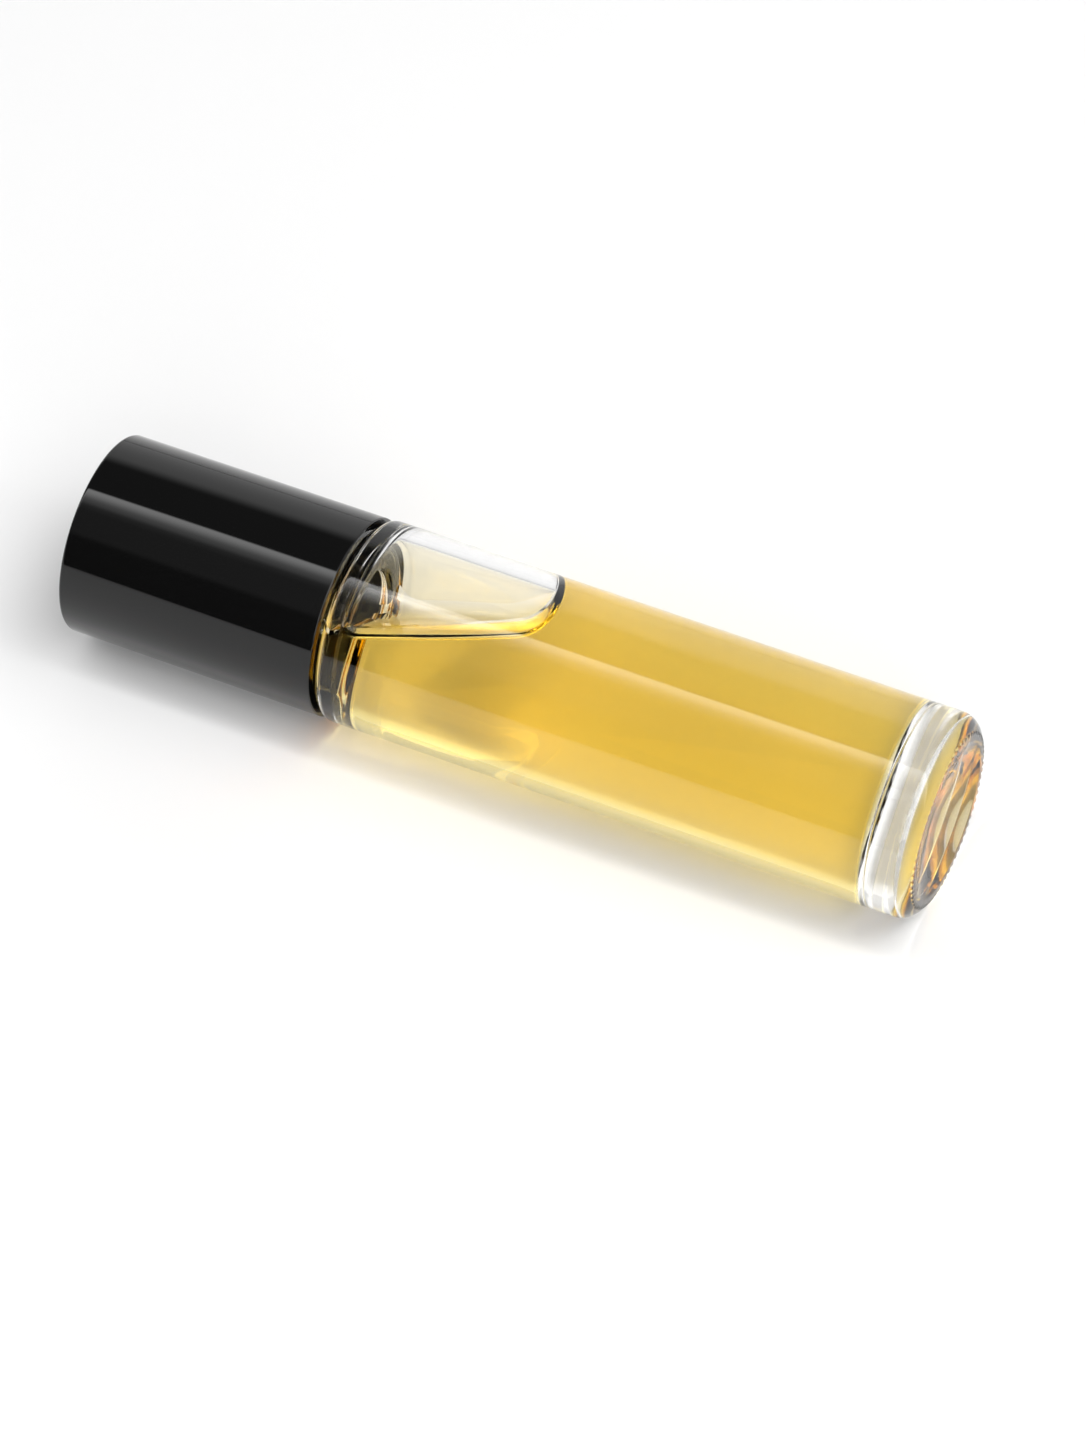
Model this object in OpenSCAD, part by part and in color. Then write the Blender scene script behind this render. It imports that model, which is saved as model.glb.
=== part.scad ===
// Roll on bottle: a thick glass vial with a ball roller under a tall screw cap.
// It lies on its side: the axis runs along X, the cap points to -X and the base to +X.
// Millimetres. The origin is under the middle of the whole bottle, on the surface it lies on.
// Each piece is drawn standing on its base and then laid down.

/* [Glass body] */
// Outside diameter of the body
body_d = 20; // [18:0.1:24]
// Height of the glass from the base to the top of the shoulder
glass_len = 60.2; // [45:0.1:75]
// Thickness of the side wall
wall = 1.6; // [1.3:0.1:2.4]
// Thickness of the glass bottom
base_thick = 5.3; // [4.5:0.1:8]
// Thickness of the glass at the shoulder
shoulder_thick = 1.2; // [1:0.1:2.4]
// Width of the shoulder from the neck to the side of the body
shoulder_w = 3; // [2.7:0.1:3.4]
// Radius of the outer shoulder
shoulder_r = 1; // [0.6:0.1:2.2]
// Radius of the outer heel
heel_r = 2; // [1:0.1:2.4]
// Radius of the inner corner at the bottom
inner_heel_r = 1.9; // [1:0.1:4]
// Radius of the inner corner at the shoulder
inner_shoulder_r = 1.5; // [0.8:0.1:2.3]
// Radius of the round where the inside opens into the neck
mouth_round = 0.7; // [0.3:0.1:0.9]

/* [Base] */
// Width of the base around its hollow
ring_w = 2.3; // [2:0.1:4]
// Depth of that hollow at its middle
punt_depth = 1.3; // [0.5:0.1:2]
// Number of grip bars on the bearing ring
bar_count = 66; // [24:1:72]
// Width of a grip bar
bar_w = 0.4; // [0.3:0.05:0.6]
// Length of a grip bar along the radius
bar_len = 1; // [0.6:0.1:1.2]

/* [Neck] */
// Height of the neck above the shoulder
neck_len = 13.5; // [12.5:0.1:15]
// Wall of the neck without its thread
neck_wall = 2; // [1.7:0.1:2.4]
// Radius of the fillet where the neck meets the shoulder
neck_fillet = 0.4; // [0.2:0.1:1]
// Radius of the round on the neck's rim
rim_round = 0.5; // [0.2:0.1:0.8]

/* [Thread] */
// Rise of the thread in one turn
thread_pitch = 2.1; // [2:0.1:2.5]
// Height of the neck's ridge above the neck
thread_depth = 0.8; // [0.6:0.05:0.9]
// Width of a ridge at its foot
ridge_foot_w = 1.15; // [1:0.05:1.2]
// Width of a ridge at its crest
ridge_crest_w = 0.45; // [0.3:0.05:0.5]
// Turns of the ridge on the neck
neck_turns = 2; // [1:0.25:2.5]
// Turns of the ridge in the cap
cap_turns = 3; // [1:0.25:3]
// Gap between the two ridges' flanks with the cap closed
flank_clear = 0.2; // [0.15:0.01:0.3]
// Gap between a ridge's crest and the other piece
crest_clear = 0.3; // [0.2:0.01:0.4]
// Height of the middle of the neck ridge's lower end above the shoulder
thread_start = 4.9; // [4.6:0.1:5.5]

/* [Roller] */
// Diameter of the ball
ball_d = 10; // [9:0.1:10.4]
// Gap between the ball and its socket
ball_clear = 0.05; // [0.02:0.01:0.1]
// Wall that the socket leaves of the plug at the neck's rim
rim_wall = 0.41; // [0.3:0.01:0.6]
// Wall of the socket round the ball's widest place
socket_wall = 1.2; // [0.8:0.05:1.4]
// Height of the socket's lip above the ball's centre
lip_rise = 2.4; // [2:0.1:2.8]
// How far the collar on the neck's rim stands back from the neck's side
collar_step = 0.2; // [0.1:0.05:0.4]
// Thickness of the collar
collar_t = 1.1; // [0.8:0.1:1.4]
// Length of the plug in the neck bore
plug_len = 6; // [5:0.1:7]
// Wall of the plug's lower tube
plug_wall = 0.9; // [0.7:0.05:1.2]
// Height of a sealing rib above the plug
rib_h = 0.2; // [0.1:0.05:0.3]
// Width of a sealing rib
rib_w = 0.7; // [0.5:0.05:0.9]
// Number of sealing ribs
rib_count = 3; // [2:1:4]
// Thickness of the seat under the ball
seat_t = 0.6; // [0.5:0.1:0.9]
// Diameter of the oil hole under the ball
feed_d = 3.6; // [3:0.1:4.4]
// Width of the oil slots in the seat
slot_w = 0.7; // [0.5:0.05:0.9]
// Number of oil slots
slot_count = 6; // [4:1:8]

/* [Cap] */
// Space between the floor over the seal and the cap's closed end
head_space = 2.25; // [0.5:0.05:8]
// How much smaller in radius the cap's rim is than the body
cap_inset = 0.12; // [0.02:0.01:0.3]
// How much the cap's radius shrinks towards its closed end
cap_draft = 0.05; // [0:0.01:0.1]
// Gap between the cap's rim and the shoulder
rim_gap = 0.4; // [0.3:0.05:1]
// Wall of the outer shell
shell_wall = 1; // [0.8:0.05:1.05]
// Thickness of the shell's closed end
shell_top = 1.2; // [1:0.1:2]
// Radius of the round at the closed end
top_round = 0.35; // [0.2:0.05:0.5]
// Radius of the round at the rim
lip_round = 0.15; // [0.1:0.05:0.2]
// How far the sleeve stands back from the shell's rim
sleeve_setback = 0.5; // [0.3:0.1:0.8]
// Gap in a glued or pressed fit
press_gap = 0.01; // [0:0.01:0.03]
// Thickness of the sleeve's floor over the seal
floor_t = 1; // [0.8:0.1:1.4]

/* [Seal] */
// Thickness of the seal disc at its edge
seal_t = 1.7; // [1.2:0.1:2]
// How far the seal reaches down over the ball
seal_dip = 0.5; // [0.3:0.1:0.8]
// Gap round the seal in its groove
seal_clear = 0.1; // [0.05:0.01:0.15]
// How far the bead under the seal stands in
bead_in = 0.4; // [0.3:0.05:0.5]
// Height of that bead
bead_h = 0.6; // [0.4:0.1:0.8]

/* [Oil] */
// Angle of the oil's surface to the bottle's axis
oil_tilt = 15; // [0:1:20]
// Angle by which the surface leans to the back, round the axis
oil_lean = 29; // [0:1:35]
// Height of the surface above the axis at the inner shoulder
oil_rise = 1; // [0:0.1:4]
// Length of the flat surface from the inner shoulder to where it starts to curl up
surface_len = 13.7; // [6:0.1:20]
// Radius of that curl, up to the glass
curl_r = 6.2; // [4:0.1:10]

/* [Hidden] */

// Facets of a full circle, of the wide ball under the base, and of a small round
round_fn = 96;
wide_fn = 192;
small_fn = 32;
// Overrun of a cut past the face it opens
over = 1;

body_r = body_d / 2;
inner_r = body_r - wall;
neck_r = body_r - shoulder_w;
bore_r = neck_r - neck_wall;
neck_top = glass_len + neck_len;
inner_top = glass_len - shoulder_thick;
// The shoulder's round leaves room for the fillet
shoulder_edge_r = min(shoulder_r, shoulder_w - neck_fillet);

// The hollow under the base is part of a ball
punt_r = body_r - ring_w;
punt_ball_r = (punt_r * punt_r + punt_depth * punt_depth) / (2 * punt_depth);
// A bar starts a little inside the heel's round
bar_inner_share = 0.1;
bar_start_r = body_r - heel_r - bar_len * bar_inner_share;
bar_h = 0.4;

// Thread: both ridges have the same height, and each starts a little inside its wall
sleeve_bore_r = neck_r + thread_depth + crest_clear;
ridge_sink = 0.2;
// Sections in a turn, corners of a section, and the part of a turn in which a ridge fades out
ridge_steps = 30;
ridge_corners = 4;
fade_turn_share = 0.12;
ridge_mid_w = (ridge_foot_w + ridge_crest_w) / 2;
flank_angle = atan((ridge_foot_w - ridge_crest_w) / 2 / thread_depth);
ridge_offset = ridge_mid_w + flank_clear / cos(flank_angle);
neck_ridge_z = glass_len + thread_start;
cap_ridge_z = neck_ridge_z - ridge_offset - thread_pitch;

// Roller
ball_r = ball_d / 2;
socket_r = ball_r + ball_clear;
cup_r = socket_r + socket_wall;
collar_r = neck_r - collar_step;
plug_r = bore_r - rib_h;
// The ball sinks until its socket leaves the rim's wall, or to its widest place
socket_rim_r = plug_r - rim_wall;
ball_rise = sqrt(max(0, socket_r * socket_r - socket_rim_r * socket_rim_r));
ball_z = neck_top + ball_rise;
ball_top = ball_z + ball_r;
lip_z = ball_z + lip_rise;
lip_in_r = sqrt(socket_r * socket_r - lip_rise * lip_rise);
// The cup's outer edge is rounded down to this wall at the lip
lip_t = 0.5;
cup_round = cup_r - lip_in_r - lip_t;
plug_z = neck_top - plug_len;
tube_top = ball_z - socket_r - seat_t;
rib_pitch = (plug_len - rib_w) / (rib_count + 1);

// Seal and the groove that holds it
seal_z = ball_top + ball_clear - seal_dip;
seal_top = seal_z + seal_t;
bead_r = max(neck_r, cup_r) + crest_clear;
upper_bore_r = bead_r + bead_in;
seal_r = upper_bore_r - seal_clear;
thread_room_top = neck_ridge_z + neck_turns * thread_pitch + ridge_foot_w;

// Cap, closed over the seal
cap_r = body_r - cap_inset;
cap_top_r = cap_r - cap_draft;
rim_z = glass_len + rim_gap;
shell_in_r = cap_r - cap_draft - shell_wall;
ceiling_z = seal_top + seal_clear + floor_t + head_space;
overall = ceiling_z + shell_top;
sleeve_r = shell_in_r - press_gap;
sleeve_z = rim_z + sleeve_setback;
sleeve_top = ceiling_z - press_gap;

// Lays a standing piece down, with its base towards +X and its x side up
module lay_down() {
    translate([overall / 2, 0, body_r])
        rotate([0, -90, 0])
            children();
}

// A plain step of a section: radius r from height z0 to z1
module band(r, z0, z1) {
    translate([0, z0])
        square([r, z1 - z0]);
}

// A step of a section with its upper outer edge rounded
module round_top_band(r, z0, z1, edge) {
    band(r, z0, z1 - edge);
    band(r - edge, z0, z1);
    translate([r - edge, z1 - edge])
        circle(edge, $fn = small_fn);
}

// The corner that fills an inner angle with a fillet
module corner_fill(r, z, size) {
    translate([r, z])
        difference() {
            square([size, size]);
            translate([size, size])
                circle(size, $fn = small_fn);
        }
}

// One cross section of a thread ridge at angle a
function ridge_ring(a, z, foot_r, crest_r) = [
    for (p = [
        [foot_r, -ridge_foot_w / 2],
        [crest_r, -ridge_crest_w / 2],
        [crest_r, ridge_crest_w / 2],
        [foot_r, ridge_foot_w / 2]
    ])
    [p[0] * cos(a), p[0] * sin(a), z + p[1]]
];

// Share of full height at turn u of a ridge that has n turns: it fades in and out
function ridge_share(u, n) = min(1, min(u, n - u) / fade_turn_share);

// A helical ridge, outwards from root_r or, with side -1, inwards
module thread_ridge(root_r, depth, start_z, turns, side) {
    count = ceil(turns * ridge_steps);
    rings = [
        for (i = [0:count])
        let (
            u = turns * i / count,
            share = ridge_share(u, turns),
            foot_r = root_r - side * ridge_sink,
            crest_r = root_r + side * (depth * share - (1 - share) * ridge_sink / 2)
        )
        ridge_ring(u * 360, start_z + u * thread_pitch, foot_r, crest_r)
    ];
    points = [for (ring = rings) each (side > 0 ? ring : [ring[3], ring[2], ring[1], ring[0]])];
    sides = [
        for (i = [0:count - 1])
        for (j = [0:ridge_corners - 1])
        let (
            a = i * ridge_corners + j,
            b = i * ridge_corners + (j + 1) % ridge_corners
        )
        each [[a, b, b + ridge_corners], [a, b + ridge_corners, a + ridge_corners]]
    ];
    last = count * ridge_corners;
    corners = [0:ridge_corners - 1];
    ends = [[for (j = corners) ridge_corners - 1 - j], [for (j = corners) last + j]];
    polyhedron(points = points, faces = concat(sides, ends), convexity = 6);
}

// Section of the space inside the glass
module cavity_section() {
    band(inner_r - inner_heel_r, base_thick, inner_top - inner_shoulder_r);
    band(inner_r, base_thick + inner_heel_r, inner_top - inner_shoulder_r);
    translate([inner_r - inner_heel_r, base_thick + inner_heel_r])
        circle(inner_heel_r, $fn = round_fn);
    round_top_band(inner_r, base_thick + inner_heel_r, inner_top, inner_shoulder_r);
    band(bore_r, inner_top - inner_shoulder_r, neck_top);
    corner_fill(bore_r, inner_top, mouth_round);
}

// Section of the glass with its hollow base but without its inside
module glass_section() {
    difference() {
        union() {
            band(body_r - heel_r, 0, glass_len - shoulder_edge_r);
            translate([body_r - heel_r, heel_r])
                circle(heel_r, $fn = round_fn);
            round_top_band(body_r, heel_r, glass_len, shoulder_edge_r);
            round_top_band(neck_r, glass_len - shoulder_edge_r, neck_top, rim_round);
            corner_fill(neck_r, glass_len, neck_fillet);
        }
        translate([0, punt_depth - punt_ball_r])
            circle(punt_ball_r, $fn = wide_fn);
    }
}

// Small bars across the bearing ring, level with it
module grip_bars() {
    for (i = [0:bar_count - 1])
        rotate([0, 0, i * 360 / bar_count])
            translate([bar_start_r, -bar_w / 2, 0])
                cube([bar_len, bar_w, bar_h]);
}

// Thick glass vial with its threaded neck
module glass_bottle() {
    color([0.93, 0.95, 0.94, 0.4])
        lay_down()
            union() {
                rotate_extrude($fn = round_fn)
                    difference() {
                        glass_section();
                        cavity_section();
                        band(bore_r, neck_top - over, neck_top + over);
                    }
                thread_ridge(neck_r, thread_depth, neck_ridge_z, neck_turns, 1);
                grip_bars();
            }
}

// Air above the oil: a tilted surface that curls up to the glass at its far end
module air_pocket() {
    reach = glass_len;
    curl_x = oil_rise + surface_len * tan(oil_tilt) + curl_r * cos(oil_tilt);
    curl_z = inner_top - surface_len + curl_r * sin(oil_tilt);
    rotate([90, 0, 0])
        linear_extrude(height = body_d, center = true)
            translate([curl_x, curl_z])
                rotate([0, 0, oil_tilt]) {
                    circle(curl_r, $fn = round_fn);
                    translate([-curl_r, 0])
                        square([reach, reach]);
                }
}

// Golden oil in the glass, up to the roller's plug
module oil_fill() {
    color([0.86, 0.68, 0.2, 0.7])
        lay_down()
            difference() {
                rotate_extrude($fn = round_fn) {
                    intersection() {
                        cavity_section();
                        band(inner_r, 0, plug_z);
                    }
                    band(plug_r - plug_wall, plug_z, tube_top);
                }
                rotate([0, 0, oil_lean])
                    air_pocket();
            }
}

// Section of the roller's housing
module housing_section() {
    difference() {
        union() {
            band(plug_r, plug_z, neck_top);
            for (i = [1:rib_count])
                band(bore_r - press_gap, plug_z + i * rib_pitch, plug_z + i * rib_pitch + rib_w);
            band(collar_r, neck_top, neck_top + collar_t);
            round_top_band(cup_r, neck_top, lip_z, cup_round);
        }
        band(plug_r - plug_wall, plug_z - over, tube_top);
        band(feed_d / 2, plug_z - over, ball_z);
        translate([0, ball_z])
            circle(socket_r, $fn = round_fn);
    }
}

// Plug, collar and socket in one soft moulding
module roller_housing() {
    color([0.9, 0.9, 0.88])
        lay_down()
            difference() {
                rotate_extrude($fn = round_fn)
                    intersection() {
                        housing_section();
                        band(body_r, plug_z, lip_z);
                    }
                for (i = [0:slot_count - 1])
                    rotate([0, 0, i * 360 / slot_count])
                        translate([0, -slot_w / 2, tube_top - over])
                            cube([feed_d / 2 + slot_w, slot_w, ball_rise + over]);
            }
}

// Polished ball
module roller_ball() {
    color([0.75, 0.76, 0.78])
        lay_down()
            translate([0, 0, ball_z])
                sphere(ball_r, $fn = round_fn);
}

// What a round takes off an outer corner at radius r and height z, above it or below
module corner_cut(r, z, size, side) {
    translate([r - size, z - side * size])
        difference() {
            translate([0, min(0, side * size)])
                square([size + over, size]);
            circle(size, $fn = small_fn);
        }
}

// Section of the outer shell
module shell_section() {
    difference() {
        polygon([
            [0, rim_z],
            [cap_r, rim_z],
            [cap_r, rim_z + lip_round],
            [cap_top_r, overall - top_round],
            [cap_top_r, overall],
            [0, overall]
        ]);
        band(shell_in_r, rim_z - over, ceiling_z);
        corner_cut(cap_r, rim_z, lip_round, -1);
        corner_cut(cap_top_r, overall, top_round, 1);
    }
}

// Glossy outer shell of the cap
module cap_shell() {
    color([0.02, 0.02, 0.02])
        lay_down()
            rotate_extrude($fn = round_fn)
                shell_section();
}

// Section of the sleeve inside the cap
module sleeve_section() {
    difference() {
        band(sleeve_r, sleeve_z, sleeve_top);
        band(sleeve_bore_r, sleeve_z - over, thread_room_top);
        band(upper_bore_r, sleeve_z - over, seal_z - bead_h);
        band(bead_r, sleeve_z - over, seal_z);
        band(upper_bore_r, seal_z - seal_clear, seal_top + seal_clear);
        band(upper_bore_r, seal_top + seal_clear + floor_t, sleeve_top + over);
    }
}

// Threaded sleeve fixed in the shell
module cap_sleeve() {
    color([0.05, 0.05, 0.05])
        lay_down()
            union() {
                rotate_extrude($fn = round_fn)
                    sleeve_section();
                thread_ridge(sleeve_bore_r, thread_depth, cap_ridge_z, cap_turns, -1);
            }
}

// Loose disc that closes the ball
module cap_seal() {
    color([0.95, 0.95, 0.93])
        lay_down()
            difference() {
                translate([0, 0, seal_z])
                    cylinder(r = seal_r, h = seal_t, $fn = round_fn);
                translate([0, 0, ball_z])
                    sphere(socket_r, $fn = round_fn);
            }
}

glass_bottle();
oil_fill();
roller_housing();
roller_ball();
cap_shell();
cap_sleeve();
cap_seal();
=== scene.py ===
import math

import bmesh
import bpy
import numpy as np
from mathutils import Matrix, Vector


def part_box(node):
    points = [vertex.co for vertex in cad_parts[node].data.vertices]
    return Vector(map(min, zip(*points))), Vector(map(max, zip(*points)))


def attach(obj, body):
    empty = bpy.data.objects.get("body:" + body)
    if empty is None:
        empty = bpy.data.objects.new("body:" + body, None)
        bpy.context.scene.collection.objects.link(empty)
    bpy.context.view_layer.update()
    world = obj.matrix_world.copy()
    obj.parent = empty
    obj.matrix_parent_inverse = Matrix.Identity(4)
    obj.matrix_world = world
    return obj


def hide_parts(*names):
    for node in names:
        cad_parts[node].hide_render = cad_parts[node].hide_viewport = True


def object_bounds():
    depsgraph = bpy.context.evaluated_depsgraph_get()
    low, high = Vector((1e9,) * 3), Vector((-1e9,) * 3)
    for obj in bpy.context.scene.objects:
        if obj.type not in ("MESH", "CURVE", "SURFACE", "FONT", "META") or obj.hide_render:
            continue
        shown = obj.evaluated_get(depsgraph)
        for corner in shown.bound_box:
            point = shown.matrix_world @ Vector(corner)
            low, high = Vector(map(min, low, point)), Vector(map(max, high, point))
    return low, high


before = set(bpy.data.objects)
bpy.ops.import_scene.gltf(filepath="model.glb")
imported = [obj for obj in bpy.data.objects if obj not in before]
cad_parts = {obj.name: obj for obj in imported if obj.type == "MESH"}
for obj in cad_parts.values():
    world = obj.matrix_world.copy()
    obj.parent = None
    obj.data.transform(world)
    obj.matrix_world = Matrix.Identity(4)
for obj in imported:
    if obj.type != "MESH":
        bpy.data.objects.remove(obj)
cad_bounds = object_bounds()

# Sizes are in millimetres, heights run from the base towards the cap, and this turns them into metres
MM = 0.001
OVERALL = (cad_bounds[1].x - cad_bounds[0].x) / MM
AXIS_Z = (cad_bounds[1].z - cad_bounds[0].z) / MM / 2


def span(node):
    """Lowest height, highest height and radius of a CAD node, in millimetres."""
    low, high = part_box(node)
    return OVERALL / 2 - high.x / MM, OVERALL / 2 - low.x / MM, (high.y - low.y) / MM / 2


# What the frame says
_, NECK_TOP, BODY_R = span("glass_bottle")
BASE_THICK, TUBE_TOP, CAVITY_R = span("oil_fill")
PLUG_Z, LIP_Z, COLLAR_R = span("roller_housing")
BALL_LOW, BALL_HIGH, BALL_R = span("roller_ball")
RIM_Z, _, CAP_R = span("cap_shell")
SLEEVE_Z, SLEEVE_TOP, SLEEVE_R = span("cap_sleeve")
SEAL_Z, SEAL_TOP, SEAL_R = span("cap_seal")
BALL_Z = (BALL_LOW + BALL_HIGH) / 2

# Glass
CAP_GAP = 0.4
SHOULDER_T = 1.2
GLASS_LEN = RIM_Z - CAP_GAP
INNER_TOP = GLASS_LEN - SHOULDER_T
NECK_R = 7
BORE_R = 5
HEEL_R = 2
SHOULDER_R = 1.0
NECK_FILLET = 0.4
RIM_ROUND = 0.5
MOUTH_ROUND = 0.7
RIM_IN_ROUND = 0.3
INNER_HEEL_R = 1.9
INNER_SHOULDER_R = 1.5
BOWL_SLOPE = 10.6
BOWL_ROOM = 1
PUNT_R = 7.7
PUNT_DEPTH = 1.3
PUNT_EDGE_R = 0.6
SEAM_Z = 4.3
SEAM_H = 0.015
SEAM_W = 0.3
SEAM_STEPS = 8
WALL_MARGIN = 0.1

# Grip bars on the base, and the facets round the glass, as many on each bar
BAR_COUNT = 66
BAR_FACETS = 6
BAR_IN_R = 7.75
BAR_OUT_R = 8.65
BAR_EDGE = 0.1
BAR_TALL = 1
BAR_SIDE = (0.16, 0.3)
GLASS_FACETS = BAR_COUNT * BAR_FACETS

# Thread
PITCH = 2.1
THREAD_DEPTH = 0.8
RIDGE_FOOT = 1.15
RIDGE_CREST = 0.45
NECK_TURNS = 2
CAP_TURNS = 3
FADE_TURN = 0.12
RIDGE_RISE = 4.9
NECK_RIDGE_Z = GLASS_LEN + RIDGE_RISE
FLANK_CLEAR = 0.2
CREST_CLEAR = 0.3
THREAD_STEP = 0.1
THREAD_NEAR = 0.05

# Roller
BALL_CLEAR = 0.05
SOCKET_WALL = 1.2
LIP_T = 0.5
COLLAR_T = 1.1
RIB_H = 0.2
RIB_W = 0.7
RIB_COUNT = 3
PLUG_WALL = 0.9
FEED_R = 1.8
SLOT_W = 0.7
SLOT_LEN = 3.5
SLOT_RISE = 0.75
SLOT_COUNT = 6
RIB_ROUND = 0.15
PLASTIC_EDGE = 0.12

# Cap
CAP_DRAFT = 0.05
SHELL_WALL = 1
SHELL_TOP = 1.2
TOP_ROUND = 0.35
LIP_ROUND = 0.15
FLOOR_T = 1
BEAD_IN = 0.4
BEAD_H = 0.6
SEAL_CLEAR = 0.1

# Oil: its surface leans to the back, tilts and slants along the axis, curls up to the glass at its far end
# and climbs the glass in a round all along
LEAN = math.radians(43)
TILT = math.radians(15)
SKEW = 0.465
OIL_RISE = -0.35
SURFACE_LEN = 13.4
CURL_R = 7.1
CURL_START_Z = INNER_TOP - SURFACE_LEN
CURL_U = OIL_RISE + SURFACE_LEN * math.tan(TILT) + CURL_R * math.cos(TILT)
CURL_Z = CURL_START_Z + CURL_R * math.sin(TILT)
MENISCUS_R = 1.5
MENISCUS_PAST = 0.05
MENISCUS_WALL_R = CAVITY_R + MENISCUS_PAST
MENISCUS_AXIS_R = MENISCUS_WALL_R - MENISCUS_R

# How the oil climbs the shoulder's inside beside the neck's mouth, between two distances from the middle
CLIMB_R = 2.0
CLIMB_IN = 4.9
CLIMB_OUT = 6.4

# How far the oil's mesh reaches into the glass, how far its cutter reaches past that, and how finely
# both are divided
SKIN = 0.02
CUTTER_PAST = 1
CUTTER_TOP = CAVITY_R + 3
OIL_FACETS = 288
OIL_STEP = 0.5
FINE_BELOW = 8
SURFACE_STEP = 0.25
SURFACE_COLUMNS = 12
CURL_STEPS = 60
MENISCUS_STEPS = 16

# Finishes
GLASS_IOR = 1.52
OIL_IOR = 1.46
GLOSS_IOR = 1.46
WHITE = (1, 1, 1, 1)
OIL_COLOUR = (0.986, 0.843, 0.095, 1)
OIL_DENSITY = 110
# Painted golden light: the cream tint laid on the glass's dry inner wall
PAINTED_GOLD_LIGHT = (1, 0.93, 0.72, 1)
GLOSS_BLACK = (0.004, 0.004, 0.004, 1)
SATIN_BLACK = (0.012, 0.012, 0.012, 1)
STEEL = (0.72, 0.72, 0.73, 1)
NATURAL = ((0.72, 0.72, 0.68, 1), (0.84, 0.84, 0.80, 1))
FOAM = ((0.80, 0.80, 0.77, 1), (0.90, 0.90, 0.88, 1))
SOFT_GLOW = (0.001, 0.001, 0.001)
FLOOR_GREY = (0.88, 0.88, 0.88, 1)

# Photograph's frame in pixels, and the camera that fits it
FRAME_H = 1448
FOCAL_PX = 6770
SENSOR = 36
CAMERA_AZIMUTH = math.radians(24.77)
CAMERA_ELEVATION = math.radians(48.19)
CAMERA_DISTANCE = 637.6
CAMERA_TARGET = Vector((2.468, 0, 4.111))

# Studio: elevation in degrees from the front over the top, share of the way towards +X, and strength
# of each softbox
FLOOR_REACH = 6
SOFTBOX_DISTANCE = 0.9
SOFTBOX_SIZE = (0.6, 0.5)
SOFTBOXES = {
    "key_softbox": (64, 0.45, 2.3),
    "top_softbox": (80, 0.5, 1.3),
    "front_softbox": (54, 0.2, 0.75),
    "back_softbox": (110, 0.4, 1.7),
    "low_softbox": (30, 0.4, 2.7),
}

# Sky: the brightness that is added between two elevations, in front of the top and behind it, and where
# the front gives way to the back
SKY_FRONT = ((0.15, 34, 42), (0.15, 66, 74), (0.8, 72, 79), (3.0, 78, 90))
SKY_BACK = (0.8, 131, 147)
SKY_BACK_LEAST = 0.05
SKY_TURN = (90.5, 93)


class Wire:
    """A socket that takes part in plain maths: each operation adds its Math node."""

    def __init__(self, tree, end):
        self.tree = tree
        self.end = end

    def math(self, operation, *values):
        return add_node(self.tree, "ShaderNodeMath", {"operation": operation}, dict(enumerate(values)))

    def __add__(self, other):
        return self.math("ADD", self, other)

    def __radd__(self, other):
        return self.math("ADD", other, self)

    def __sub__(self, other):
        return self.math("SUBTRACT", self, other)

    def __rsub__(self, other):
        return self.math("SUBTRACT", other, self)

    def __mul__(self, other):
        return self.math("MULTIPLY", self, other)

    def __rmul__(self, other):
        return self.math("MULTIPLY", other, self)

    def __truediv__(self, other):
        return self.math("DIVIDE", self, other)

    def __rtruediv__(self, other):
        return self.math("DIVIDE", other, self)

    def __pow__(self, other):
        return self.math("POWER", self, other)

    def __neg__(self):
        return self.math("MULTIPLY", self, -1)

    def __abs__(self):
        return self.math("ABSOLUTE", self)

    def __lt__(self, other):
        return self.math("LESS_THAN", self, other)

    def __gt__(self, other):
        return self.math("GREATER_THAN", self, other)

    def over(self, low, high):
        """0 at low, 1 at high, and a soft step between."""
        settings = {"interpolation_type": "SMOOTHSTEP"}
        values = {"Value": self, "From Min": low, "From Max": high}
        return add_node(self.tree, "ShaderNodeMapRange", settings, values)


def add_node(tree, kind, settings=None, inputs=None, out=0):
    """A node of a kind, with its settings set first and then its sockets. Returns one of its outputs."""
    node = tree.nodes.new(kind)
    for name, value in (settings or {}).items():
        setattr(node, name, value)
    for key, value in (inputs or {}).items():
        if isinstance(value, Wire):
            tree.links.new(value.end, node.inputs[key])
        else:
            node.inputs[key].default_value = value
    return Wire(tree, node.outputs[out]) if len(node.outputs) else node


def arc(centre_r, height, radius, start, end, steps):
    """Points of an arc of a section, between two angles in degrees."""
    angles = [math.radians(start + (end - start) * i / steps) for i in range(steps + 1)]
    return [(centre_r + radius * math.cos(a), height + radius * math.sin(a)) for a in angles]


def run(start, end, step):
    """Points of a straight stretch of a section, no further apart than step."""
    count = max(1, math.ceil(math.dist(start, end) / step))
    return [tuple(s + (e - s) * i / count for s, e in zip(start, end)) for i in range(count + 1)]


def without_repeats(section, least=1e-6):
    """The section without points that fall on the one before."""
    kept = [section[0]]
    for point in section[1:]:
        if math.dist(point, kept[-1]) > least:
            kept.append(point)
    return kept


def place(radius, angle, height):
    """Where a point at a radius, an angle from the top and a height lies in the frame, in metres."""
    x = (OVERALL / 2 - height) * MM
    return x, radius * math.sin(angle) * MM, (AXIS_Z + radius * math.cos(angle)) * MM


def mesh_object(name, vertices, faces):
    """A new object with a closed mesh whose faces point outwards."""
    mesh = bpy.data.meshes.new(name)
    mesh.from_pydata(vertices, [], faces)
    skin = bmesh.new()
    skin.from_mesh(mesh)
    bmesh.ops.recalc_face_normals(skin, faces=skin.faces)
    skin.to_mesh(mesh)
    skin.free()
    piece = bpy.data.objects.new(name, mesh)
    bpy.context.scene.collection.objects.link(piece)
    return piece


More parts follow.
